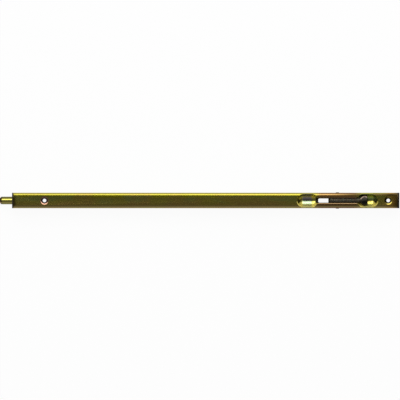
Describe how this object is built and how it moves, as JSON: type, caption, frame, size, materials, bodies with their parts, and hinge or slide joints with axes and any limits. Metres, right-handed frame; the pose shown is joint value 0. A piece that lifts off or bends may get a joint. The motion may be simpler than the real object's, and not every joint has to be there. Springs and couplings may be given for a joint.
{
  "type": "lever flush bolt",
  "caption": "Lever flush bolt for a double door's edge: long folded case, flip lever between two finger wells, round sliding bolt.",
  "frame": {"origin": "middle of the whole object's box, thrown bolt included, on the plane of the case walls' free edges", "axes": "+X from the bolt's tip towards the lever end, +Y across the face, +Z out of the face"},
  "size_m": [0.413, 0.0168, 0.018],
  "materials": {
    "case_zinc": "yellow passivated zinc plate",
    "bolt_zinc": "drawn steel, yellow passivated zinc plate",
    "lever_casting": "dark grained casting",
    "yoke_steel": "dark passivated strip",
    "spring_steel": "blued spring strip",
    "pin_steel": "peened steel"
  },
  "bodies": {
    "case": {"case": "case_zinc", "front_guide": "case_zinc", "rear_guide": "case_zinc", "brake_spring": "spring_steel", "pivot_pin": "pin_steel"},
    "lever": {"lever": "lever_casting"},
    "bolt": {"bolt_nose": "bolt_zinc", "nose_rivet": "pin_steel", "drive_bar": "bolt_zinc", "yoke": "yoke_steel"}
  },
  "joints": [
    {"name": "lever_flip", "type": "hinge", "parent": "case", "child": "lever", "pos_m": [0.1425, 0, 0.014], "axis": [0, -1, 0], "range_deg": [0, 180]},
    {"name": "bolt_slide", "type": "slide", "parent": "case", "child": "bolt", "axis": [1, 0, 0], "range_m": [0, 0.013]}
  ],
  "couplings": [
    {"joint": "lever_flip", "follows": "bolt_slide", "rad_per_m": 241.66}
  ]
}
